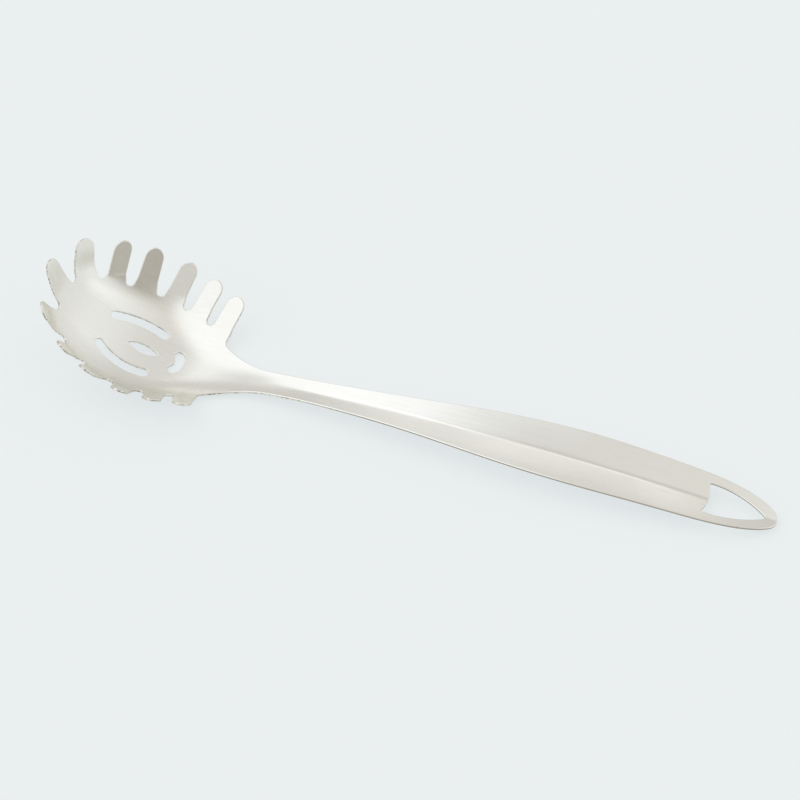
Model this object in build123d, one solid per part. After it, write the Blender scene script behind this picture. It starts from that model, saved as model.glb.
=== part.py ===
from build123d import *
import os
from math import asin, atan2, cos, floor, hypot, pi, radians, sin, sqrt, tanh

# A pasta server pressed from one sheet of stainless steel. The flat blank is drawn first, with
# along = the way down its middle line, zero where the bowl rests and positive to the handle's end,
# and across = the way out from that line. Pressing bends it along its length and across its width.

# Sheet
sheet_thickness = 1.2
rest_spot_depth = 0.06

# Bowl
rim_middle = -34.7
rim_front = 39.6
rim_back = 50.0
rim_half_width = 30.2
gap_radius = 2.05
tine_end_radius = 4.9
tine_reach = 14.0
corner_radius = 2.2
corner_along = 6.9
gap_angles = (55.6, 72.5, 89.5, 112.4, 135, 163.4)
gap_rim_shares = (1.016, 1.005, 1.0, 0.967, 0.986, 1.0)
tine_angles = (71, 76.5, 87, 108, 128, 154, 180)
tine_reach_shares = (0.92, 0.87, 0.96, 0.97, 0.985, 0.985, 0.92)

# Handle
handle_reach = 260.9
neck_along = 34.3
neck_half_width = 6.45
neck_curve_radius = 50.0
handle_half_width = 15.2
handle_end_radius = 6.0
handle_end_angle = 52.0
handle_along_shares = (0.19, 0.25, 0.355, 0.46, 0.565, 0.67, 0.77, 0.84, 0.895, 0.935, 0.955)
handle_width_shares = (0.43, 0.475, 0.60, 0.78, 0.94, 1.0, 0.955, 0.90, 0.83, 0.715, 0.62)

# Hanging hole
hole_end_gap = 4.7
hole_length = 27.2
hole_base_half = 8.0
hole_bulge = 2.0
hole_side_half = 5.9
hole_side_share = 0.56
hole_corner_radius = 0.8
hole_point_radius = 1.1

# Draining slots in the bowl's floor
long_slot_width = 4.4
long_slot_front = -46.8
long_slot_back = -23.4
long_slot_middle = -34.7
long_slot_front_half = 8.9
long_slot_middle_half = 12.7
long_slot_back_half = 11.9
eye_front = -36.2
eye_back = -21.2
eye_half_width = 2.5
eye_tip_radius = 0.5
short_slot_width = 4.4
short_slot_middle = -11.4
short_slot_end = -12.9
short_slot_half = 4.2

# Bends of the sheet, at stations a fixed step apart along the blank
station_step = 12.5
walk_step = 0.5
press_step_count = 32
station_count_before_rest = 8
bowl_slope_angles = (-83, -83, -64.5, -44, -30, -23.5, -14.2, -8, 0.2, 9.3, 9.6)
handle_first_slope_angle = 5.2
handle_last_slope_angle = -6.4
wall_lean_angles = (30, 35.5, 41, 46.6, 49.3, 49.3, 46.8, 42.6, 38.4, 35.9, 33, 26, 12, 0)
wall_bend_width = 23.4
floor_half_shares = (0.515, 0.61, 0.74, 0.845, 0.952, 1.0, 0.952, 0.78, 0.583, 0.515, 0.515, 0.545, 0.6, 0.65)
floor_half_width = 22.8
valley_start = 25.0
valley_neck = 48.0
valley_neck_angle = 3.0
valley_angle = 5.6
valley_middle = 130.0
valley_full = 205.0
crease_width = 1.1

# How far the pressed sheet is drawn past the blank before it is trimmed
overrun = 3.0
front_overrun = 8.0
sheet_half_bowl = 52.0
sheet_half_front = 34.0
sheet_half_handle = 19.0
sheet_neck = 45.0
press_lean = 28.0
trim_height = 400.0
bowl_row_step = 4.0
handle_row_step = 8.0
column_count = 16
column_crowding_share = 1.5
surface_fit = 0.004
edge_point_step = 6.0
edge_least_count = 3
edge_end_share = 0.001


def curve_value(values, place):
    """Smooth value between the stations: a uniform cubic B-spline."""
    place = min(max(place, 0), len(values) - 1)
    first = min(floor(place), len(values) - 2)
    t = place - first
    weights = ((1 - t) ** 3, 3 * t**3 - 6 * t**2 + 4, -3 * t**3 + 3 * t**2 + 3 * t + 1, t**3)
    total = 0
    for step, weight in enumerate(weights):
        index = min(max(first - 1 + step, 0), len(values) - 1)
        total += values[index] * weight / 6
    return total


def station(along):
    return along / station_step + station_count_before_rest


def make_slopes():
    """Slope of the middle line at every station, in degrees."""
    slopes = list(bowl_slope_angles)
    first = (len(slopes) - station_count_before_rest) * station_step
    count = int((handle_reach - first) / station_step) + 2
    for index in range(count):
        share = index * station_step / (handle_reach - first)
        slopes.append(handle_first_slope_angle + (handle_last_slope_angle - handle_first_slope_angle) * share)
    return slopes


slopes = make_slopes()
middle_line = {0: (0, sheet_thickness - rest_spot_depth)}


def middle_point(index):
    """Point of the middle line this many short steps from the resting spot, walked there once."""
    way = 1 if index > 0 else -1
    known = index
    while known not in middle_line:
        known -= way
    while known != index:
        x, z = middle_line[known]
        slope = radians(curve_value(slopes, station((known + way / 2) * walk_step)))
        known += way
        middle_line[known] = (x + way * cos(slope) * walk_step, z + way * sin(slope) * walk_step)
    return middle_line[index]


def middle(along):
    """Place and slope of the middle line."""
    place = along / walk_step
    low = floor(place)
    share = place - low
    x0, z0 = middle_point(low)
    x1, z1 = middle_point(low + 1)
    slope = radians(curve_value(slopes, station(along)))
    return x0 + (x1 - x0) * share, z0 + (z1 - z0) * share, slope


def ease(place, low, high):
    """0 below low, 1 above high, smooth between."""
    t = min(max((place - low) / (high - low), 0), 1)
    return t * t * (3 - 2 * t)


def valley(along):
    """Lean of the handle's two halves towards its crease."""
    neck = valley_neck_angle * ease(along, valley_start, valley_neck)
    return neck + (valley_angle - valley_neck_angle) * ease(along, valley_middle, valley_full)


def press(along, across):
    """The place in the pressed sheet's top of a point of the blank."""
    x, z, slope = middle(along)
    lean = radians(curve_value(wall_lean_angles, station(along)))
    start = floor_half_width * curve_value(floor_half_shares, station(along)) - wall_bend_width / 2
    dip = radians(valley(along))
    step = abs(across) / press_step_count
    out = 0
    up = 0
    for index in range(press_step_count):
        way = (index + 0.5) * step
        turn = lean * ease(way, start, start + wall_bend_width) + dip * tanh(way / crease_width)
        out += cos(turn) * step
        up += sin(turn) * step
    side = 1 if across > 0 else -1
    return Vector(x - sin(slope) * up, side * out, z + cos(slope) * up)


# Blank

def side_line(first, second):
    """Line touching two circles, from a gap's to a tine's or back, with the metal on its left."""
    (x0, y0, r0), (x1, y1, r1) = first, second
    sign = -1 if r0 > 0 else 1
    heading = atan2(y1 - y0, x1 - x0) - sign * asin((abs(r0) + abs(r1)) / hypot(x1 - x0, y1 - y0))
    left = Vector(-sin(heading), cos(heading))
    return Vector(x0, y0) - left * r0, Vector(x1, y1) - left * r1


def circle_arc(circle, start, end):
    """Arc of a circle from start to end: anticlockwise round a tine's end, clockwise in a gap."""
    x, y, radius = circle
    first = atan2(start.Y - y, start.X - x)
    last = atan2(end.Y - y, end.X - x)
    if radius > 0 and last < first:
        last += 2 * pi
    if radius < 0 and last > first:
        last -= 2 * pi
    halfway = (first + last) / 2
    return ThreePointArc(start, (x + abs(radius) * cos(halfway), y + abs(radius) * sin(halfway)), end)


def gap_circle(angle, share):
    turn = radians(angle)
    length = rim_back if cos(turn) > 0 else rim_front
    return rim_middle + length * share * cos(turn), rim_half_width * share * sin(turn), -gap_radius


def neck_centre():
    return neck_along, neck_half_width + neck_curve_radius


def corner_circle():
    x, y = neck_centre()
    return corner_along, y - sqrt((neck_curve_radius - corner_radius) ** 2 - (x - corner_along) ** 2), -corner_radius


def bowl_circles():
    """Round ends of the tines and of the gaps between them, from the neck to the front tine."""
    gaps = [corner_circle()]
    for angle, share in zip(gap_angles, gap_rim_shares):
        gaps.append(gap_circle(angle, share))
    x, y, radius = gaps[-1]
    gaps.append((x, -y, radius))
    circles = []
    for index, (turn, share) in enumerate(zip(tine_angles, tine_reach_shares)):
        x = (gaps[index][0] + gaps[index + 1][0]) / 2 + tine_reach * share * cos(radians(turn))
        y = (gaps[index][1] + gaps[index + 1][1]) / 2 + tine_reach * share * sin(radians(turn))
        circles.append(gaps[index])
        circles.append((x, y, tine_end_radius))
    return circles


def half_outline():
    """Edges of the blank on one side, from the handle's end to the front tine's tip."""
    edges = []
    end_x = handle_reach - handle_end_radius
    points = [Vector(neck_along, neck_half_width)]
    for along_share, width_share in zip(handle_along_shares, handle_width_shares):
        points.append(Vector(handle_reach * along_share, handle_half_width * width_share))
    last_turn = radians(handle_end_angle)
    end_start = Vector(end_x + handle_end_radius * cos(last_turn), handle_end_radius * sin(last_turn))
    end_heading = Vector(sin(last_turn), -cos(last_turn))
    middle_turn = last_turn / 2
    end_middle = (end_x + handle_end_radius * cos(middle_turn), handle_end_radius * sin(middle_turn))
    edges.append(ThreePointArc((handle_reach, 0), end_middle, end_start))
    side = Spline(*points, end_start, tangents=((1, 0), end_heading))
    edges.append(side)
    circles = bowl_circles()
    x, y = neck_centre()
    corner_x, corner_y, corner_r = circles[0]
    heading = atan2(corner_y - y, corner_x - x)
    touch = Vector(x + neck_curve_radius * cos(heading), y + neck_curve_radius * sin(heading))
    halfway = (heading - pi / 2) / 2
    half_point = (x + neck_curve_radius * cos(halfway), y + neck_curve_radius * sin(halfway))
    edges.append(ThreePointArc(points[0], half_point, touch))
    start = touch
    for first, second in zip(circles, circles[1:]):
        leave, arrive = side_line(first, second)
        edges.append(circle_arc(first, start, leave))
        edges.append(Line(leave, arrive))
        start = arrive
    tip_x, tip_y, tip_r = circles[-1]
    edges.append(circle_arc(circles[-1], start, Vector(tip_x - tip_r, 0)))
    return edges


def make_hole():
    """Hanging hole: an arched base and two sides that close to a small round point."""
    point = handle_reach - hole_end_gap
    base_x = point - hole_length
    corner = (base_x, hole_base_half)
    side_x = base_x + hole_length * hole_side_share
    upper = ThreePointArc(corner, (side_x, hole_side_half), (point, 0))
    lower = upper.mirror(Plane.XZ)
    base = ThreePointArc(corner, (base_x + hole_bulge, 0), (base_x, -hole_base_half))
    face = make_face([upper, lower, base])
    corners = face.vertices().sort_by(Axis.X)
    face = fillet(corners[:2], hole_corner_radius)
    return fillet(face.vertices().sort_by(Axis.X)[-1], hole_point_radius)


def make_slots():
    """Two long curved slots, the eye between them and the short slot behind it."""
    path = ThreePointArc(
        (long_slot_front, long_slot_front_half),
        (long_slot_middle, long_slot_middle_half),
        (long_slot_back, long_slot_back_half),
    )
    long_slot = SlotArc(path, long_slot_width)
    eye_middle = (eye_front + eye_back) / 2
    upper = ThreePointArc((eye_front, 0), (eye_middle, eye_half_width), (eye_back, 0))
    eye = make_face([upper, upper.mirror(Plane.XZ)])
    eye = fillet(eye.vertices(), eye_tip_radius)
    path = ThreePointArc(
        (short_slot_end, short_slot_half),
        (short_slot_middle, 0),
        (short_slot_end, -short_slot_half),
    )
    return [long_slot, long_slot.mirror(Plane.XZ), eye, SlotArc(path, short_slot_width)]


# Pressed sheet

press_plane = Plane(
    origin=(0, 0, 0),
    x_dir=(cos(radians(press_lean)), 0, -sin(radians(press_lean))),
    z_dir=(sin(radians(press_lean)), 0, cos(radians(press_lean))),
)


def seen_from_press(point):
    """A point of the blank, pressed and laid on the plane that the trimming tools cut along."""
    local = press_plane.to_local_coords(press(point.X, point.Y))
    return Vector(local.X, local.Y)


def pressed_edge(edge):
    """A line or arc of the blank as it lies after pressing."""
    count = edge_least_count + int(edge.length / edge_point_step)
    points = []
    for index in range(count + 1):
        points.append(seen_from_press(edge @ (index / count)))
    first = seen_from_press(edge @ edge_end_share) - points[0]
    last = points[-1] - seen_from_press(edge @ (1 - edge_end_share))
    return Spline(*points, tangents=(first, last))


def trimming_face(edges):
    return make_face([pressed_edge(edge) for edge in edges])


def front_tip():
    """Tip of the front tine along the blank."""
    x, y, radius = bowl_circles()[-1]
    return x - radius


def sheet_half(along):
    """Half the width of the pressed sheet before trimming."""
    bowl = sheet_half_front + (sheet_half_bowl - sheet_half_front) * ease(along, front_tip(), rim_middle)
    return bowl + (sheet_half_handle - bowl) * ease(along, corner_along, sheet_neck)


def sheet_rows():
    rows = []
    along = front_tip() - front_overrun
    while along < handle_reach + overrun:
        rows.append(along)
        along += bowl_row_step if along < sheet_neck else handle_row_step
    rows.append(handle_reach + overrun)
    return rows


def make_sheet():
    """Top of the pressed sheet, past the blank's edges on all sides."""
    grid = []
    for along in sheet_rows():
        half = sheet_half(along)
        row = []
        for index in range(-column_count, column_count + 1):
            share = (abs(index) / column_count) ** column_crowding_share
            side = 1 if index > 0 else -1
            row.append(press(along, side * share * half))
        grid.append(row)
    return Face.make_surface_from_array_of_points(grid, tol=surface_fit, min_deg=3, max_deg=6)


def make_server():
    upper = half_outline()
    lower = [edge.mirror(Plane.XZ) for edge in upper]
    outline = trimming_face(upper + lower)
    for opening in make_slots() + [make_hole()]:
        outline -= trimming_face(opening.edges())
    cutter = extrude(press_plane * outline, amount=trim_height, both=True)
    sheet = make_sheet()
    below = -1 if sheet.normal_at(press(0, 0)).Z > 0 else 1
    top = (sheet & cutter).faces()[0]
    solid = Solid.thicken(top, below * sheet_thickness)
    floor_block = Pos(0, 0, -trim_height / 2) * Box(trim_height, trim_height, trim_height)
    return solid - floor_block


server = make_server()
server.label = "server"
os.makedirs("parts", exist_ok=True)
export_step(server, "parts/server.step")
print("volume", round(server.volume, 1), "box", server.bounding_box())
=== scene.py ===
import math

import bpy
import numpy as np
from mathutils import Matrix, Vector
from mathutils.geometry import delaunay_2d_cdt


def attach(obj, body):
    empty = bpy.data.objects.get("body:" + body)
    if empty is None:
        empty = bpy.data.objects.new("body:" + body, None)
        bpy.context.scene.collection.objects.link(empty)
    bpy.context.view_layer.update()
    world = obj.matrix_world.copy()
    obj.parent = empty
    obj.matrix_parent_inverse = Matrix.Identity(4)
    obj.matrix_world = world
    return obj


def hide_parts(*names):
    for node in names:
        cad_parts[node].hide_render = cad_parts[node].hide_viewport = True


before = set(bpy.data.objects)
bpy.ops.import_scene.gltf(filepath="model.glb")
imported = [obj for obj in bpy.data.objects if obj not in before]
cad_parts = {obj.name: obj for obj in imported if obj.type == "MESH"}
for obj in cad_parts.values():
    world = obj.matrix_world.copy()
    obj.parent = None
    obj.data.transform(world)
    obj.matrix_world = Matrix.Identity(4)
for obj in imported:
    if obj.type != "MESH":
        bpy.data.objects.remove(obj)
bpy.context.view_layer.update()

mm = 0.001


def status(text):
    print("pasta server:", text)


# The server, in mm. Its flat blank comes first: x runs down the middle line from the resting spot to the
# handle's end, y runs across it.

blank = {
    "sheet": 1.2,
    "restSpot": 0.06,
    "edgeRound": 0.42,
    "edgeSegments": 4,
    "edgeAngle": 60,
    "rimMiddle": -34.7,
    "rimFront": 39.6,
    "rimBack": 50.0,
    "rimHalf": 30.2,
    "gapAngles": (55.6, 72.5, 89.5, 112.4, 135, 163.4),
    "gapShares": (1.016, 1.005, 1.0, 0.967, 0.986, 1.0),
    "gapRadius": 2.05,
    "cornerAlong": 6.9,
    "cornerRadius": 2.2,
    "tineRadius": 4.9,
    "tineReach": 14.0,
    "tineTurns": (71, 76.5, 87, 108, 128, 154, 180),
    "tineShares": (0.92, 0.87, 0.96, 0.97, 0.985, 0.985, 0.92),
    "handleReach": 260.9,
    "handleHalf": 15.2,
    "endRadius": 6.0,
    "endTurn": 52,
    "neckAlong": 34.3,
    "neckHalf": 6.45,
    "neckRadius": 50.0,
    "alongShares": (0.19, 0.25, 0.355, 0.46, 0.565, 0.67, 0.77, 0.84, 0.895, 0.935, 0.955),
    "widthShares": (0.43, 0.475, 0.60, 0.78, 0.94, 1.0, 0.955, 0.90, 0.83, 0.715, 0.62),
    "longSlot": ((-46.8, 8.9), (-34.7, 12.7), (-23.4, 11.9)),
    "shortSlot": ((-12.9, 4.2), (-11.4, 0), (-12.9, -4.2)),
    "slotWidth": 4.4,
    "eye": (-36.2, -21.2, 2.5, 0.5),
    "holeBase": 229.0,
    "holeHalf": 8.0,
    "holeBulge": 2.0,
    "holePoint": 256.2,
    "holeSide": (244.23, 5.9),
    "holeCorner": 0.8,
    "holeTip": 1.1,
    # Points of its edges and faces
    "edgeStep": 0.9,
    "arcStepShare": 0.55,
    "sideStepShare": 1.3,
    "edgeClear": 0.62,
    "pointGap": 0.00001,
    "bowlStep": 1.25,
    "bowlSpan": (-92, 44),
    "bowlHalf": 46,
    "handleStep": 1.9,
    "handleSpan": (44.5, 260),
    "handleRows": (0, 0.35, 0.75, 1.2, 1.8, 2.6, 3.7, 5.1, 6.7, 8.5, 10.3, 12.1, 13.9),
    # Bends that the press gives it, in degrees at stations along the middle line
    "station": 12.5,
    "before": 8,
    "bowlSlopes": (-83, -83, -64.5, -44, -30, -23.5, -14.2, -8, 0.2, 9.3, 9.6),
    "handleSlopes": (5.2, -6.4),
    "leans": (30, 35.5, 41, 46.6, 49.3, 49.3, 46.8, 42.6, 38.4, 35.9, 33, 26, 12, 0),
    "leanWidth": 23.4,
    "floorHalf": 22.8,
    "floorShares": (
        0.515, 0.61, 0.74, 0.845, 0.952, 1.0, 0.952, 0.78, 0.583, 0.515, 0.515, 0.545, 0.6, 0.65,
    ),
    "valleyStart": (25.0, 48.0, 3.0),
    "valleyFull": (130.0, 205.0, 5.6),
    "crease": 1.1,
    "walkStep": 0.5,
    "walkReaches": (100, 268),
    "pressSteps": 32,
    "normalStep": 0.05,
    # Length of the bend at each tine's foot, and where its straight run is measured
    "tineBends": (5, 5, 5, 4, 2.5, 16, 16),
    "tineGripShare": 0.6,
    "tineGripHalf": 4,
    "faceDepth": 0.0001,
    "uvScale": 10,
}


def polar(centre, radius, angle):
    return np.array([centre[0] + radius * math.cos(angle), centre[1] + radius * math.sin(angle)])


# Points of an arc, its last one left out
def arc(centre, radius, first, last, step=None):
    step = step or blank["edgeStep"] * blank["arcStepShare"]
    count = max(3, int(abs(last - first) * radius / step))
    return [polar(centre, radius, first + (last - first) * i / count) for i in range(count)]


# Points of a straight edge, its last one left out
def stretch(start, end):
    count = max(1, int(np.linalg.norm(end - start) / blank["edgeStep"]))
    return [start + (end - start) * i / count for i in range(count)]


def circleThrough(a, b, c):
    a, b, c = (np.array(p, float) for p in (a, b, c))
    sides = np.array([b - a, c - a]) * 2
    centre = np.linalg.solve(sides, [b @ b - a @ a, c @ c - a @ a])
    return centre, np.linalg.norm(a - centre)


def angleOf(centre, point):
    return math.atan2(point[1] - centre[1], point[0] - centre[0])


# Where two circles cross, nearest to a point
def meeting(a, ra, b, rb, near):
    a, b = np.array(a, float), np.array(b, float)
    gap = np.linalg.norm(b - a)
    along = (gap**2 + ra**2 - rb**2) / (2 * gap)
    up = math.sqrt(max(ra**2 - along**2, 0))
    way = (b - a) / gap
    side = np.array([-way[1], way[0]])
    found = [a + way * along + side * up, a + way * along - side * up]
    return min(found, key=lambda p: np.linalg.norm(p - np.array(near)))


# Smooth curve through points, its ends pointing the given ways, sampled evenly
def smoothCurve(points, startWay, endWay, step):
    points = np.array(points, float)
    place = np.r_[0, np.cumsum(np.linalg.norm(np.diff(points, axis=0), axis=1))]
    gaps = np.diff(place)
    count = len(points)
    shares = np.zeros((count, count))
    pulls = np.zeros((count, 2))
    shares[0, 0] = shares[-1, -1] = 1
    pulls[0], pulls[-1] = startWay, endWay
    for i in range(1, count - 1):
        shares[i, i - 1 : i + 2] = gaps[i], 2 * (gaps[i - 1] + gaps[i]), gaps[i - 1]
        before, after = (points[i] - points[i - 1]) / gaps[i - 1], (points[i + 1] - points[i]) / gaps[i]
        pulls[i] = 3 * (gaps[i] * before + gaps[i - 1] * after)
    ways = np.linalg.solve(shares, pulls)
    found = []
    for i in range(count - 1):
        number = max(1, int(gaps[i] / step))
        for t in np.arange(number) / number:
            found.append(
                points[i] * (2 * t**3 - 3 * t**2 + 1)
                + ways[i] * gaps[i] * (t**3 - 2 * t**2 + t)
                + points[i + 1] * (3 * t**2 - 2 * t**3)
                + ways[i + 1] * gaps[i] * (t**3 - t**2)
            )
    return found


# Round ends of gaps (radius below zero) and tines, from the neck's corner to the front tine
def tineCircles():
    b = blank
    x = b["neckAlong"] - b["cornerAlong"]
    y = b["neckHalf"] + b["neckRadius"] - math.sqrt((b["neckRadius"] - b["cornerRadius"]) ** 2 - x**2)
    gaps = [(b["cornerAlong"], y, -b["cornerRadius"])]
    for angle, share in zip(b["gapAngles"], b["gapShares"]):
        turn = math.radians(angle)
        length = b["rimBack"] if math.cos(turn) > 0 else b["rimFront"]
        along = b["rimMiddle"] + length * share * math.cos(turn)
        gaps.append((along, b["rimHalf"] * share * math.sin(turn), -b["gapRadius"]))
    gaps.append((gaps[-1][0], -gaps[-1][1], -b["gapRadius"]))
    circles = []
    for i, (turn, share) in enumerate(zip(b["tineTurns"], b["tineShares"])):
        middle = [(gaps[i][0] + gaps[i + 1][0]) / 2, (gaps[i][1] + gaps[i + 1][1]) / 2]
        tip = polar(middle, b["tineReach"] * share, math.radians(turn))
        circles += [gaps[i], (tip[0], tip[1], b["tineRadius"])]
    return circles


# The blank's edge on the far side, from the handle's end to the front tine's tip
def halfOutline():
    b = blank
    turn = math.radians(b["endTurn"])
    endMiddle = (b["handleReach"] - b["endRadius"], 0)
    points = arc(endMiddle, b["endRadius"], 0, turn)
    side = [(b["neckAlong"], b["neckHalf"])]
    for along, width in zip(b["alongShares"], b["widthShares"]):
        side.append((b["handleReach"] * along, b["handleHalf"] * width))
    side.append(tuple(polar(endMiddle, b["endRadius"], turn)))
    step = b["edgeStep"] * b["sideStepShare"]
    points += smoothCurve(side[::-1], (-math.sin(turn), math.cos(turn)), (-1, 0), step)
    neck = (b["neckAlong"], b["neckHalf"] + b["neckRadius"])
    circles = tineCircles()
    touch = angleOf(neck, circles[0])
    points += arc(neck, b["neckRadius"], -math.pi / 2, touch, b["edgeStep"])
    arrive = polar(neck, b["neckRadius"], touch)
    for (x0, y0, r0), (x1, y1, r1) in zip(circles, circles[1:]):
        sign = -1 if r0 > 0 else 1
        crossing = math.asin((abs(r0) + abs(r1)) / math.hypot(x1 - x0, y1 - y0))
        heading = math.atan2(y1 - y0, x1 - x0) - sign * crossing
        left = np.array([-math.sin(heading), math.cos(heading)])
        leave = np.array([x0, y0]) - left * r0
        points += bentArc((x0, y0, r0), arrive, leave)
        arrive = np.array([x1, y1]) - left * r1
        points += stretch(leave, arrive)
    front = np.array([circles[-1][0] - b["tineRadius"], 0])
    points += bentArc(circles[-1], arrive, front)
    points.append(front)
    return points


# Arc of a tine's end or a gap's, each turned its own way
def bentArc(circle, start, end):
    x, y, radius = circle
    first, last = angleOf((x, y), start), angleOf((x, y), end)
    if radius > 0 and last < first:
        last += 2 * math.pi
    if radius < 0 and last > first:
        last -= 2 * math.pi
    return arc((x, y), abs(radius), first, last)


# Outline of a curved slot with round ends
def slotLoop(path, width):
    centre, radius = circleThrough(*path)
    first, last = angleOf(centre, path[0]), angleOf(centre, path[2])
    if last > first:
        last -= 2 * math.pi
    if first - last > math.pi:
        first, last = last, first - 2 * math.pi
    half = width / 2
    sense = 1 if last > first else -1
    loop = arc(centre, radius + half, first, last)
    loop += arc(polar(centre, radius, last), half, last, last + sense * math.pi)
    loop += arc(centre, radius - half, last, first)
    loop += arc(polar(centre, radius, first), half, first - sense * math.pi, first)
    return loop


def eyeLoop():
    start, end, half, tip = blank["eye"]
    reach = (end - start) / 2
    middle = (start + end) / 2
    radius = (reach**2 + half**2) / (2 * half)
    drop = radius - half
    tipAlong = math.sqrt((radius - tip) ** 2 - drop**2)
    turn = math.atan2(drop, tipAlong)
    loop = arc((middle, -drop), radius, turn, math.pi - turn)
    loop += arc((middle - tipAlong, 0), tip, math.pi - turn, math.pi + turn)
    loop += arc((middle, drop), radius, math.pi + turn, 2 * math.pi - turn)
    loop += arc((middle + tipAlong, 0), tip, -turn, turn)
    return loop


def holeLoop():
    b = blank
    corner = np.array([b["holeBase"], b["holeHalf"]])
    sideMiddle, sideRadius = circleThrough(corner, b["holeSide"], (b["holePoint"], 0))
    baseMiddle, baseRadius = circleThrough(corner, (b["holeBase"] + b["holeBulge"], 0), corner * [1, -1])
    inner, outer = sideRadius - b["holeCorner"], baseRadius + b["holeCorner"]
    cornerMiddle = meeting(sideMiddle, inner, baseMiddle, outer, corner)
    sideTouch = angleOf(sideMiddle, cornerMiddle)
    baseTouch = angleOf(baseMiddle, cornerMiddle)
    tipAlong = sideMiddle[0] + math.sqrt((sideRadius - b["holeTip"]) ** 2 - sideMiddle[1] ** 2)
    tipTouch = angleOf(sideMiddle, (tipAlong, 0))
    upper = arc((tipAlong, 0), b["holeTip"], 0, tipTouch)
    upper += arc(sideMiddle, sideRadius, tipTouch, sideTouch)
    upper += arc(cornerMiddle, b["holeCorner"], sideTouch, baseTouch + math.pi)
    upper += arc(baseMiddle, baseRadius, baseTouch, 0)
    upper.append(np.array([b["holeBase"] + b["holeBulge"], 0]))
    return upper + [p * [1, -1] for p in upper[-2:0:-1]]


def makeLoops():
    upper = halfOutline()
    outline = upper + [p * [1, -1] for p in upper[-2:0:-1]]
    farSlot = slotLoop(blank["longSlot"], blank["slotWidth"])
    nearSlot = [p * [1, -1] for p in farSlot][::-1]
    shortSlot = slotLoop(blank["shortSlot"], blank["slotWidth"])
    return [outline, farSlot, nearSlot, eyeLoop(), shortSlot, holeLoop()]


# Which points are in the metal, by counting the edges to one side
def insideLoops(points, loops):
    inside = np.zeros(len(points), bool)
    for loop in loops:
        a = np.array(loop)
        b = np.roll(a, -1, axis=0)
        for (x0, y0), (x1, y1) in zip(a, b):
            if y0 == y1:
                continue
            hit = (points[:, 1] > min(y0, y1)) & (points[:, 1] <= max(y0, y1))
            inside ^= hit & (points[:, 0] < x0 + (points[:, 1] - y0) * (x1 - x0) / (y1 - y0))
    return inside


# Even points for the sheet's faces: square in the bowl, and rows along the handle, close at its crease
def innerPoints(loops):
    step, half = blank["bowlStep"], blank["bowlHalf"]
    across = np.arange(-half, half, step) + step / 2
    points = [(x, y) for x in np.arange(*blank["bowlSpan"], step) for y in across]
    rows = sorted({-r for r in blank["handleRows"]} | set(blank["handleRows"]))
    points += [(x, y) for x in np.arange(*blank["handleSpan"], blank["handleStep"]) for y in rows]
    points = np.array(points)
    points = points[insideLoops(points, loops)]
    edge = np.vstack([np.array(loop) for loop in loops])
    nearest = np.full(len(points), np.inf)
    for part in np.array_split(edge, 10):  # in parts, to save memory
        nearest = np.minimum(nearest, np.linalg.norm(points[:, None] - part[None], axis=2).min(1))
    return points[nearest > blank["edgeClear"]]


def makeBlankMesh():
    loops = makeLoops()
    edge, joins = [], []
    for loop in loops:
        start = len(edge)
        edge += [Vector((float(p[0]), float(p[1]))) for p in loop]
        joins += [(start + i, start + (i + 1) % len(loop)) for i in range(len(loop))]
    inner = [Vector((float(p[0]), float(p[1]))) for p in innerPoints(loops)]
    verts, _, faces, *_ = delaunay_2d_cdt(edge + inner, joins, [], 0, blank["pointGap"])
    middles = np.array([np.mean([verts[i] for i in face], axis=0) for face in faces])
    kept = insideLoops(middles, loops)
    mesh = bpy.data.meshes.new("serverSheet")
    mesh.from_pydata([(v.x, v.y, 0) for v in verts], [], [f for f, keep in zip(faces, kept) if keep])
    mesh.validate()
    sheet = bpy.data.objects.new("serverSheet", mesh)
    bpy.context.scene.collection.objects.link(sheet)
    return sheet


def pick(piece):
    bpy.ops.object.select_all(action="DESELECT")
    piece.select_set(True)
    bpy.context.view_layer.objects.active = piece


def applyModifier(piece, kind, **settings):
    modifier = piece.modifiers.new(kind.title(), kind)
    for name, value in settings.items():
        setattr(modifier, name, value)
    pick(piece)
    bpy.ops.object.modifier_apply(modifier=modifier.name)


# Press


# Smooth value between stations, a cubic B-spline
def curveValues(values, place):
    values = np.array(values, float)
    last = len(values) - 1
    place = np.clip(place, 0, last - 1e-9)
    first = np.floor(place).astype(int)
    t = place - first
    weights = ((1 - t) ** 3, 3 * t**3 - 6 * t**2 + 4, -3 * t**3 + 3 * t**2 + 3 * t + 1, t**3)
    return sum(values[np.clip(first - 1 + i, 0, last)] * weight / 6 for i, weight in enumerate(weights))


def ease(place, low, high):
    t = np.clip((place - low) / (high - low), 0, 1)
    return t * t * (3 - 2 * t)


def stationOf(along):
    return along / blank["station"] + blank["before"]


def makeSlopes():
    slopes = list(blank["bowlSlopes"])
    first = (len(slopes) - blank["before"]) * blank["station"]
    low, high = blank["handleSlopes"]
    for i in range(int((blank["handleReach"] - first) / blank["station"]) + 2):
        slopes.append(low + (high - low) * i * blank["station"] / (blank["handleReach"] - first))
    return slopes


slopes = makeSlopes()


# The pressed middle line, walked both ways from the resting spot
def walkMiddle():
    step = blank["walkStep"]
    lines = []
    for way, reach in zip((-1, 1), blank["walkReaches"]):
        number = int(reach / step)
        slope = np.radians(curveValues(slopes, stationOf(way * (np.arange(number) + 0.5) * step)))
        lines.append((way * np.cumsum(np.cos(slope)) * step, way * np.cumsum(np.sin(slope)) * step))
    (backX, backZ), (x, z) = lines
    place = np.arange(-len(backX), len(x) + 1) * step
    rise = blank["sheet"] - blank["restSpot"]
    return place, np.r_[backX[::-1], 0, x], np.r_[backZ[::-1], 0, z] + rise


middleLine = walkMiddle()


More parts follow.
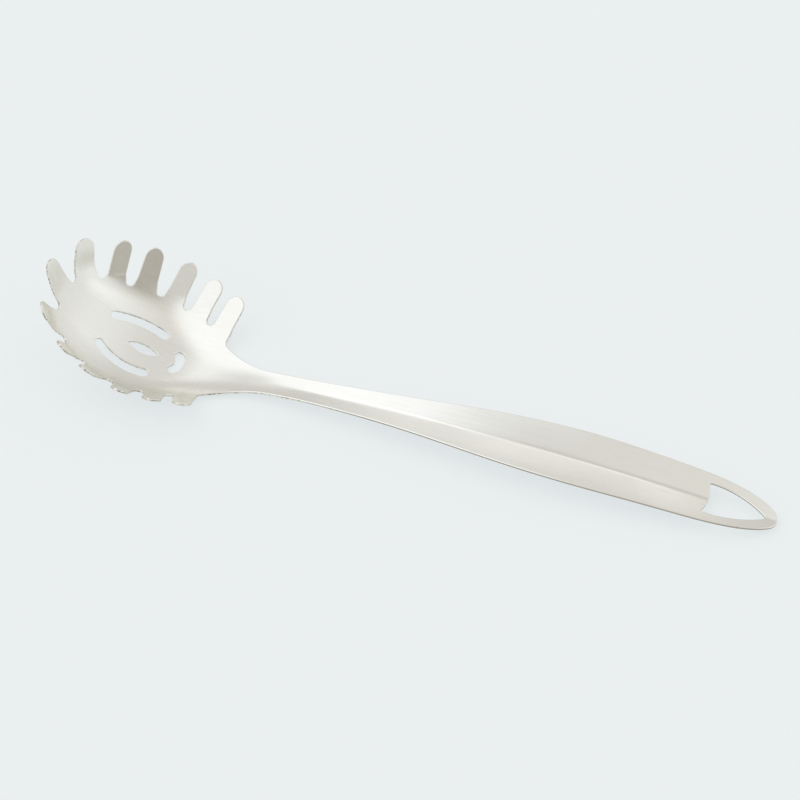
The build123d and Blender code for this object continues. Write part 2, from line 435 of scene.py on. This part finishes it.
# Places on the top of the pressed sheet for points of the blank
def press(along, across):
    place, lineX, lineZ = middleLine
    x, z = np.interp(along, place, lineX), np.interp(along, place, lineZ)
    slope = np.radians(curveValues(slopes, stationOf(along)))
    lean = np.radians(curveValues(blank["leans"], stationOf(along)))
    width = blank["leanWidth"]
    start = blank["floorHalf"] * curveValues(blank["floorShares"], stationOf(along)) - width / 2
    low, high, neckAngle = blank["valleyStart"]
    dip = neckAngle * ease(along, low, high)
    low, high, fullAngle = blank["valleyFull"]
    dip = np.radians(dip + (fullAngle - neckAngle) * ease(along, low, high))
    steps = blank["pressSteps"]
    step = np.abs(across) / steps
    out = up = 0
    for i in range(steps):
        way = (i + 0.5) * step
        turn = lean * ease(way, start, start + width) + dip * np.tanh(way / blank["crease"])
        out = out + np.cos(turn) * step
        up = up + np.sin(turn) * step
    return np.stack([x - np.sin(slope) * up, np.sign(across) * out, z + np.cos(slope) * up], -1)


# Foot, way, reach, foot width and length of bend of every tine in the blank
def tineStrips():
    circles = tineCircles()
    strips = []
    for i in range(0, len(circles), 2):
        gap = np.array(circles[i][:2])
        tip = np.array(circles[i + 1][:2])
        other = np.array(circles[i + 2][:2]) if i + 2 < len(circles) else gap * [1, -1]
        foot = (gap + other) / 2
        long = np.linalg.norm(tip - foot)
        bend = blank["tineBends"][i // 2]
        width = np.linalg.norm(other - gap)
        strip = (foot, (tip - foot) / long, long + blank["tineRadius"], width, bend)
        strips.append(strip)
        if i + 2 < len(circles):
            strips.append((foot * [1, -1], strip[1] * [1, -1], *strip[2:]))
    return strips


strips = tineStrips()


# Places on the sheet's top, with the tines straight from a bend at their feet
def shape(along, across):
    place = press(along, across)
    for foot, way, reach, width, bend in strips:
        side = np.array([-way[1], way[0]])
        out = (along - foot[0]) * way[0] + (across - foot[1]) * way[1]
        off = (along - foot[0]) * side[0] + (across - foot[1]) * side[1]
        middle = foot + way * reach * blank["tineGripShare"]
        grip = blank["tineGripHalf"]
        ends = np.array([foot, foot + way * reach, middle - side * grip, middle + side * grip])
        low, high, left, right = press(ends[:, 0], ends[:, 1])
        straight = low + out[:, None] * (high - low) / reach + off[:, None] * (right - left) / (2 * grip)
        weight = ease(out, 0, bend) * (np.abs(off) < width / 2)
        place += (straight - place) * weight[:, None]
    return place


def sheetNormal(along, across):
    reach = blank["normalStep"]
    first = shape(along + reach, across) - shape(along - reach, across)
    second = shape(along, across + reach) - shape(along, across - reach)
    normal = np.cross(first, second)
    return normal / np.linalg.norm(normal, axis=1)[:, None]


# Bends the flat piece, and keeps its flat places as the UV map and its cut edge as an attribute
def pressSheet(sheet):
    mesh = sheet.data
    flat = np.zeros(len(mesh.vertices) * 3)
    mesh.vertices.foreach_get("co", flat)
    flat = flat.reshape(-1, 3)
    normal = sheetNormal(flat[:, 0], flat[:, 1])
    place = shape(flat[:, 0], flat[:, 1]) + normal * flat[:, 2:3]
    place[:, 2] = np.maximum(place[:, 2], 0)
    mesh.vertices.foreach_set("co", (place * mm).ravel())
    corners = np.zeros(len(mesh.loops), int)
    mesh.loops.foreach_get("vertex_index", corners)
    uv = mesh.uv_layers.new(name="blank")
    uv.data.foreach_set("uv", (flat[corners, :2] * mm * blank["uvScale"]).ravel())
    depth = -flat[:, 2]
    half = blank["edgeRound"] / 2
    cut = np.clip(np.minimum(depth, blank["sheet"] - depth) / half - 1, 0, 1)
    edge = mesh.attributes.new("cutEdge", "FLOAT", "POINT")
    edge.data.foreach_set("value", cut.astype(np.float32))
    level = blank["faceDepth"]
    top, under = depth < level, depth > blank["sheet"] - level
    own = np.where(top[:, None], normal, np.where(under[:, None], -normal, 0))
    mesh.update()
    pick(sheet)
    bpy.ops.object.shade_smooth()
    mesh.normals_split_custom_set_from_vertices([tuple(n) for n in own])
    status(f"pressed {len(mesh.vertices)} points, {len(mesh.polygons)} faces")


def makeServer():
    sheet = makeBlankMesh()
    status(f"blank of {len(sheet.data.polygons)} faces")
    applyModifier(sheet, "SOLIDIFY", thickness=blank["sheet"], offset=-1)
    applyModifier(
        sheet, "BEVEL", width=blank["edgeRound"], segments=blank["edgeSegments"], limit_method="ANGLE",
        angle_limit=math.radians(blank["edgeAngle"]), use_clamp_overlap=False, harden_normals=False,
    )
    pressSheet(sheet)
    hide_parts("server")
    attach(sheet, "root")
    return sheet


# Materials


# A socket's output, so that sums read as sums. A node's sockets are given as i0, i1, or by name.
class Wire:
    def __init__(self, tree, socket):
        self.tree = tree
        self.socket = socket

    def node(self, kind, settings=None, out=0, **inputs):
        made = self.tree.nodes.new(kind)
        for name, value in (settings or {}).items():
            setattr(made, name, value)
        for name, value in inputs.items():
            spot = int(name[1:]) if name[1:].isdigit() else name.replace("_", " ")
            connect(self.tree, made.inputs[spot], value)
        return Wire(self.tree, made.outputs[out])

    def sum(self, operation, other, swapped=False):
        first, second = (other, self) if swapped else (self, other)
        return self.node("ShaderNodeMath", {"operation": operation}, i0=first, i1=second)

    def __add__(self, other):
        return self.sum("ADD", other)

    def __radd__(self, other):
        return self.sum("ADD", other, True)

    def __sub__(self, other):
        return self.sum("SUBTRACT", other)

    def __rsub__(self, other):
        return self.sum("SUBTRACT", other, True)

    def __mul__(self, other):
        return self.sum("MULTIPLY", other)

    def __rmul__(self, other):
        return self.sum("MULTIPLY", other, True)

    def __truediv__(self, other):
        return self.sum("DIVIDE", other)

    def __rtruediv__(self, other):
        return self.sum("DIVIDE", other, True)

    def atLeast(self, other):
        return self.sum("MAXIMUM", other)

    def smooth(self, low, high, start=0.0, end=1.0):
        settings = {"interpolation_type": "SMOOTHSTEP"}
        return self.node("ShaderNodeMapRange", settings, i0=self, i1=low, i2=high, i3=start, i4=end)

    def mix(self, first, second):
        return self.node("ShaderNodeMix", {"data_type": "RGBA"}, out=2, i0=self, i6=first, i7=second)


def connect(tree, spot, value):
    if isinstance(value, Wire):
        tree.links.new(value.socket, spot)
    else:
        spot.default_value = value


def startMaterial(name):
    material = bpy.data.materials.new(name)
    material.use_nodes = True
    tree = material.node_tree
    tree.nodes.clear()
    return material, tree, Wire(tree, None)


def finishMaterial(tree, shader):
    out = tree.nodes.new("ShaderNodeOutputMaterial")
    tree.links.new(shader.socket, out.inputs["Surface"])


# Ranges along the server are in its UV map's units of 100 mm
steelLook = {
    "face": (0.875, 0.866, 0.822),
    "faceWarm": (0.855, 0.84, 0.78),
    "wornRange": (0.38, 0.62),
    "cut": (0.80, 0.77, 0.70),
    "cutDark": (0.34, 0.31, 0.26),
    # Dark brown of the handle's cut edges is painted shade
    "cutHandlePaintedShade": (0.36, 0.31, 0.25),
    "paintedShadeRange": (0.3, 0.9),
    "speckRange": (0.40, 0.50),
    "bowlRoughness": 0.27,
    "handleRoughness": 0.085,
    "polishRange": (0.0, 0.6),
    "grainRoughness": 0.08,
    "cloudRoughness": 0.06,
    "cutRoughness": 0.2,
    "grainStretch": (6, 90, 1),
    "streakStretch": (2.5, 22, 1),
    "grain": {"Scale": 18.0, "Detail": 4.0, "Roughness": 0.6},
    "streaks": {"Scale": 3.0, "Detail": 2.0, "Roughness": 0.5},
    "clouds": {"Scale": 38.0, "Detail": 2.0, "Roughness": 0.5},
    "specks": {"Scale": 900.0, "Detail": 2.0, "Roughness": 0.6},
    "bump": {"Strength": 0.12, "Distance": 0.00004},
    "speckHeight": 2.0,
}


def makeSteel():
    look = steelLook
    material, tree, wire = startMaterial("satinSteel")
    flat = wire.node("ShaderNodeUVMap", {"uv_map": "blank"})
    own = wire.node("ShaderNodeTexCoord", out=3)
    brushed = wire.node("ShaderNodeMapping", i0=flat, i3=look["grainStretch"])
    streaked = wire.node("ShaderNodeMapping", i0=flat, i3=look["streakStretch"])
    grain = wire.node("ShaderNodeTexNoise", Vector=brushed, **look["grain"])
    streaks = wire.node("ShaderNodeTexNoise", Vector=streaked, **look["streaks"])
    clouds = wire.node("ShaderNodeTexNoise", Vector=own, **look["clouds"])
    specks = wire.node("ShaderNodeTexNoise", Vector=own, **look["specks"])
    cut = wire.node("ShaderNodeAttribute", {"attribute_name": "cutEdge"}, out=2)
    along = wire.node("ShaderNodeSeparateXYZ", i0=flat)
    worn = clouds * 0.5 + streaks * 0.5
    face = worn.smooth(*look["wornRange"]).mix((*look["face"], 1), (*look["faceWarm"], 1))
    # Cut edges pale in the bowl, turning dark brown along the handle: that dark brown is painted shade
    pale = along.smooth(*look["paintedShadeRange"]).mix((*look["cut"], 1), (*look["cutHandlePaintedShade"], 1))
    rim = specks.smooth(*look["speckRange"]).mix((*look["cutDark"], 1), pale)
    colour = cut.mix(face, rim)
    satin = along.smooth(*look["polishRange"], look["bowlRoughness"], look["handleRoughness"])
    roughness = (grain - 0.5) * look["grainRoughness"] + (clouds - 0.5) * look["cloudRoughness"]
    roughness = roughness + satin + cut * look["cutRoughness"]
    bump = wire.node("ShaderNodeBump", Height=grain + specks * cut * look["speckHeight"], **look["bump"])
    shader = wire.node(
        "ShaderNodeBsdfPrincipled", Base_Color=colour, Metallic=1.0, Roughness=roughness, Normal=bump,
    )
    finishMaterial(tree, shader)
    status("steel made")
    return material


# Paper floor, its size and place in metres

stage = {
    "size": 6,
    "middle": 0.1,
    "paper": (0.823, 0.855, 0.863),
    "glow": (0.6585, 0.695, 0.7255),
    "shadowed": (0.403, 0.36, 0.324),
}


def makeFloor():
    bpy.ops.mesh.primitive_plane_add(size=stage["size"], location=(stage["middle"], 0, 0))
    floor = bpy.context.active_object
    floor.name = "studioFloor"
    material, tree, wire = startMaterial("studioPaper")
    glowing, shadowed = (
        (*(c * share for c, share in zip(stage["paper"], stage[name])), 1) for name in ("glow", "shadowed")
    )
    glow = wire.node("ShaderNodeEmission", Color=glowing, Strength=1.0)
    matt = wire.node("ShaderNodeBsdfDiffuse", Color=shadowed)
    finishMaterial(tree, wire.node("ShaderNodeAddShader", i0=glow, i1=matt))
    floor.data.materials.append(material)
    status("floor laid")


# Camera of the photograph, in the part's frame

cameraView = {
    "place": (323.6, -647.2, 788.0),
    "tilt": 48.3,
    "turn": 19.63,
    "focusPixels": 2405.6,
    "photoPixels": 800,
    "sensor": 36,
    "clip": 0.01,
}


def makeCamera():
    view = cameraView
    camera = bpy.data.objects.new("photoCamera", bpy.data.cameras.new("photoCamera"))
    bpy.context.scene.collection.objects.link(camera)
    camera.data.sensor_width = view["sensor"]
    camera.data.lens = view["focusPixels"] / view["photoPixels"] * view["sensor"]
    turn, tilt = math.radians(view["turn"]), math.radians(view["tilt"])
    right = Vector((math.cos(turn), math.sin(turn), 0))
    ahead = Vector((-math.sin(turn) * math.cos(tilt), math.cos(turn) * math.cos(tilt), -math.sin(tilt)))
    up = right.cross(ahead)
    pose = Matrix((right, up, -ahead)).transposed().to_4x4()
    pose.translation = Vector(view["place"]) * mm
    camera.matrix_world = pose
    camera.data.clip_start = view["clip"]
    bpy.context.scene.camera = camera
    status("camera placed")
    return right, Vector((-math.sin(turn), math.cos(turn), 0))


# A pale room, told by direction: a large softbox over the left side, a weaker one to the right, and the dark
# of the camera's side. x and y are a direction's steps to the right and away, for one step up.

room = {
    "warm": (1.0, 0.95, 0.85),
    "cool": (0.84, 0.90, 1.0),
    "level": 0.45,
    "fill": 0.27,
    "lowest": 0.12,
    # Softbox over the left side, and its upper end
    "horizon": (0, 0.3),
    "left": {"edge": (-0.12, 0.3, -0.2), "soft": 0.13, "low": (-0.31, 0.14), "lowSlant": 0.9},
    "leftTop": {"high": (1.13, 0.05), "gain": 0.55},
    # Weaker softbox to the right, and a bright strip with a soft glow beyond the server
    "right": {"x": (0.25, 3.3), "y": (-0.42, 0.66), "xSoft": 0.32, "ySoft": 0.12, "gain": 0.20},
    "far": {"x": (-0.12, 0.45), "xSoft": 0.1, "slant": 0.35, "low": (0.93, 0.05)},
    "farStrip": {"high": (1.024, 0.012), "gain": 0.19},
    "farGlow": {"high": (1.4, 0.3), "gain": 0.04},
    # Pale haze, and a patch where the light is yellower
    "haze": {"x": (0.02, 0.45), "y": (0.40, 0.64), "soft": 0.08, "gain": 0.07},
    "amber": {"x": (-0.2, 0.35), "y": (-0.5, 0.25), "soft": 0.2, "gain": 0.14, "loss": 0.09},
    # The dark of the camera's side, and the pale walls beside it
    "viewer": {"from": 0.62, "soft": 0.10, "x": (-0.06, 0.76), "xSoft": 0.12},
    "side": {"from": 0.52, "soft": 0.19, "gain": 0.21},
    "corner": {"x": (0.8, 0.15), "y": (-0.15, 0.25), "gain": 0.16},
}


def rise(place, middle, soft):
    return place.smooth(middle - soft, middle + soft)


def band(place, low, high, soft):
    return rise(place, low, soft) * (1 - rise(place, high, soft))


def makeRoom(right, away):
    world = bpy.data.worlds.new("studioRoom")
    bpy.context.scene.world = world
    world.use_nodes = True
    tree = world.node_tree
    tree.nodes.clear()
    wire = Wire(tree, None)
    direction = wire.node("ShaderNodeTexCoord", out=0)

    def along(way):
        settings = {"operation": "DOT_PRODUCT"}
        return wire.node("ShaderNodeVectorMath", settings, out=1, i0=direction, i1=tuple(way))

    toRight, toAway, toUp = along(right), along(away), along((0, 0, 1))
    r = room
    height = toUp.atLeast(r["lowest"])
    x, y = toRight / height, toAway / height
    left, top, other = r["left"], r["leftTop"], r["right"]
    far, strip, glow, haze, amber = r["far"], r["farStrip"], r["farGlow"], r["haze"], r["amber"]
    viewer, side, corner = r["viewer"], r["side"], r["corner"]
    start, slant, bow = left["edge"]
    leftBox = 1 - rise(x - y * slant - y * y * bow, start, left["soft"])
    leftBox = leftBox * rise(y - x * left["lowSlant"], *left["low"])
    leftBox = leftBox * (1 - rise(y, *top["high"])) * toUp.smooth(*r["horizon"]) * top["gain"]
    rightBox = band(x, *other["x"], other["xSoft"]) * band(y, *other["y"], other["ySoft"]) * other["gain"]
    across = y - x * far["slant"]
    farStrip = (1 - rise(across, *strip["high"])) * strip["gain"]
    farStrip = farStrip + (1 - rise(across, *glow["high"])) * glow["gain"]
    farStrip = farStrip * rise(across, *far["low"]) * band(x, *far["x"], far["xSoft"])
    thinHaze = band(x, *haze["x"], haze["soft"]) * band(y, *haze["y"], haze["soft"]) * haze["gain"]
    tint = band(x, *amber["x"], amber["soft"]) * band(y, *amber["y"], amber["soft"])
    dark = rise(toAway * -1, viewer["from"], viewer["soft"]) * band(toRight, *viewer["x"], viewer["xSoft"])
    pale = rise(toRight, side["from"], side["soft"]) * side["gain"]
    nearCorner = rise(toRight, *corner["x"]) * (1 - rise(toAway, *corner["y"])) * corner["gain"]
    warmLight = r["level"] + farStrip + thinHaze + tint * amber["gain"]
    coolLight = (1 - dark) * r["fill"] - tint * amber["loss"]
    coolLight = coolLight + leftBox + rightBox + farStrip + pale + nearCorner
    walls = wire.node("ShaderNodeBackground", i0=(*r["warm"], 1), i1=warmLight)
    boxes = wire.node("ShaderNodeBackground", i0=(*r["cool"], 1), i1=coolLight)
    out = tree.nodes.new("ShaderNodeOutputWorld")
    tree.links.new(wire.node("ShaderNodeAddShader", i0=walls, i1=boxes).socket, out.inputs["Surface"])
    status("room lit")


status("start")
right, away = makeCamera()
server = makeServer()
server.data.materials.append(makeSteel())
makeFloor()
makeRoom(right, away)
bpy.context.scene.view_settings.view_transform = "Standard"
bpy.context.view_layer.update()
status("done")
